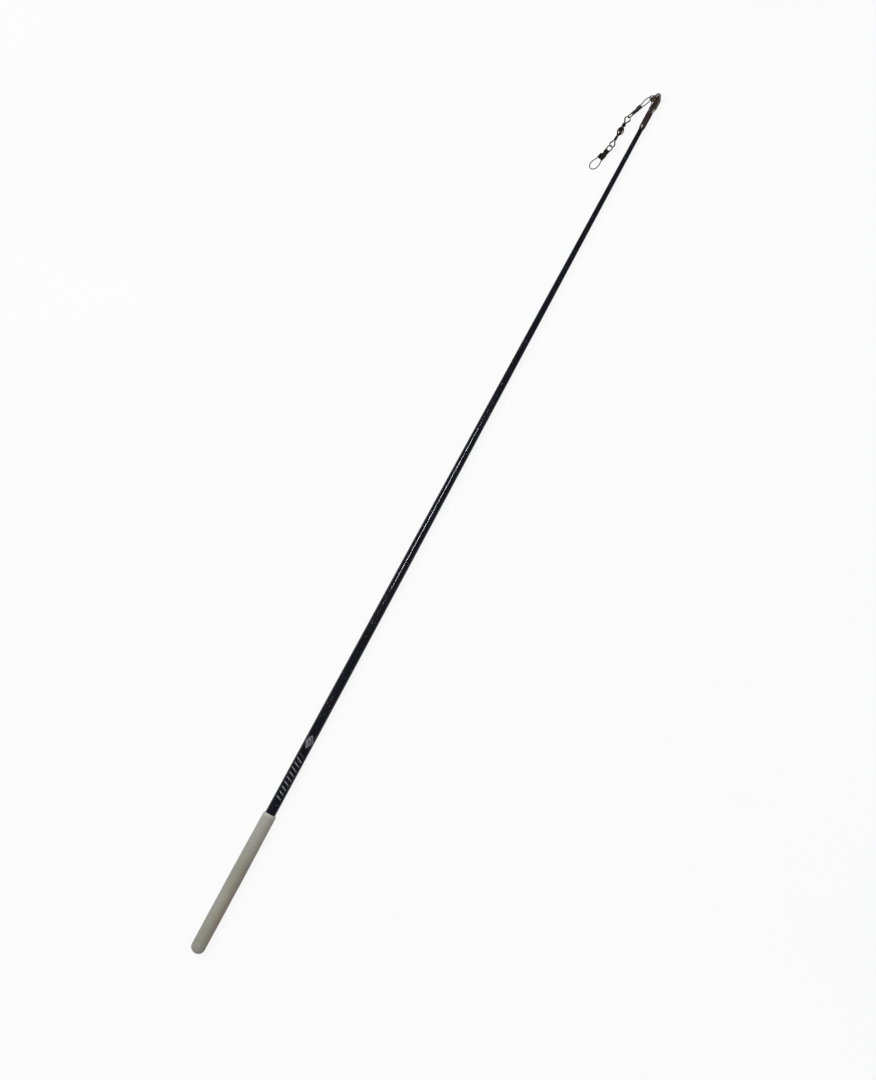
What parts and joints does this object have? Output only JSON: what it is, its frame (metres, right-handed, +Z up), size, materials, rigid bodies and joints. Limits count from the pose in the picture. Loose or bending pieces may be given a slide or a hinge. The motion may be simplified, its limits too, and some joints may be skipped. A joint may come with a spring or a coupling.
{
  "type": "rhythmic gymnastics ribbon stick",
  "caption": "Slim tapered rod with a rubber grip, a crimped tip fitting with a wire hoop, and a short snap, swivel and snap chain that carries a gymnastics ribbon.",
  "frame": {"origin": "middle of the grip's straight part, on the rod's axis", "axes": "+X along the rod towards the tip hoop, +Y towards the side the chain lies on, +Z up as it lies on a table"},
  "size_m": [0.5999, 0.0221, 0.009],
  "materials": {
    "lacquer": "clear gloss lacquer over black with fine coloured glitter",
    "grip_rubber": "matte, very fine ripples across",
    "ferrule_metal": "dark bronze plating, half gloss",
    "bright_pin": "bare grey metal",
    "wire": "black nickel, gloss",
    "clasp_metal": "black nickel, half gloss",
    "cage_metal": "dark bronze plating, half gloss",
    "sleeve_plastic": "satin dark grey, slightly brown"
  },
  "bodies": {
    "stick": {"shaft": "lacquer", "grip": "grip_rubber", "ferrule": "ferrule_metal", "ferrule_pin": "bright_pin", "tip_plug": "ferrule_metal", "tip_hoop": "wire", "hoop_sleeve": "sleeve_plastic"},
    "upper_bow": {"upper_snap_bow": "wire"},
    "upper_clasp": {"upper_snap_clasp": "clasp_metal", "upper_snap_eye": "wire"},
    "swivel_top": {"swivel_upper_eye": "wire"},
    "swivel_bottom": {"swivel_cage": "cage_metal", "swivel_lower_eye": "wire"},
    "lower_clasp": {"lower_snap_clasp": "clasp_metal", "lower_snap_eye": "wire"},
    "lower_bow": {"lower_snap_bow": "wire"}
  },
  "joints": [
    {"name": "hook_swing", "type": "hinge", "parent": "stick", "child": "upper_bow", "pos_m": [0.5646, 0.00395, 0], "axis": [0.6287, 0.7777, 0], "range_deg": [-20, 110]},
    {"name": "upper_latch", "type": "hinge", "parent": "upper_bow", "child": "upper_clasp", "pos_m": [0.5549, 0.00712, 0.00074], "axis": [-0.9367, 0.3502, 0], "range_deg": [0, 35], "stiffness_Nm_per_rad": 0.01},
    {"name": "swivel_swing", "type": "hinge", "parent": "upper_clasp", "child": "swivel_top", "pos_m": [0.54813, 0.01043, -0.00052], "axis": [0.1751, 0.4683, -0.866], "range_deg": [-8, 75]},
    {"name": "swivel_spin", "type": "hinge", "parent": "swivel_top", "child": "swivel_bottom", "pos_m": [0.54081, 0.01055, -0.00052], "axis": [0.9989, -0.0471, 0], "continuous": true},
    {"name": "snap_swing", "type": "hinge", "parent": "swivel_bottom", "child": "lower_clasp", "pos_m": [0.52744, 0.01119, -0.00052], "axis": [0.0408, 0.8651, 0.5], "range_deg": [-10, 100]},
    {"name": "lower_latch", "type": "hinge", "parent": "lower_clasp", "child": "lower_bow", "pos_m": [0.52053, 0.01148, -0.0001], "axis": [-0.9703, 0.2419, 0], "range_deg": [0, 35], "stiffness_Nm_per_rad": 0.01}
  ]
}
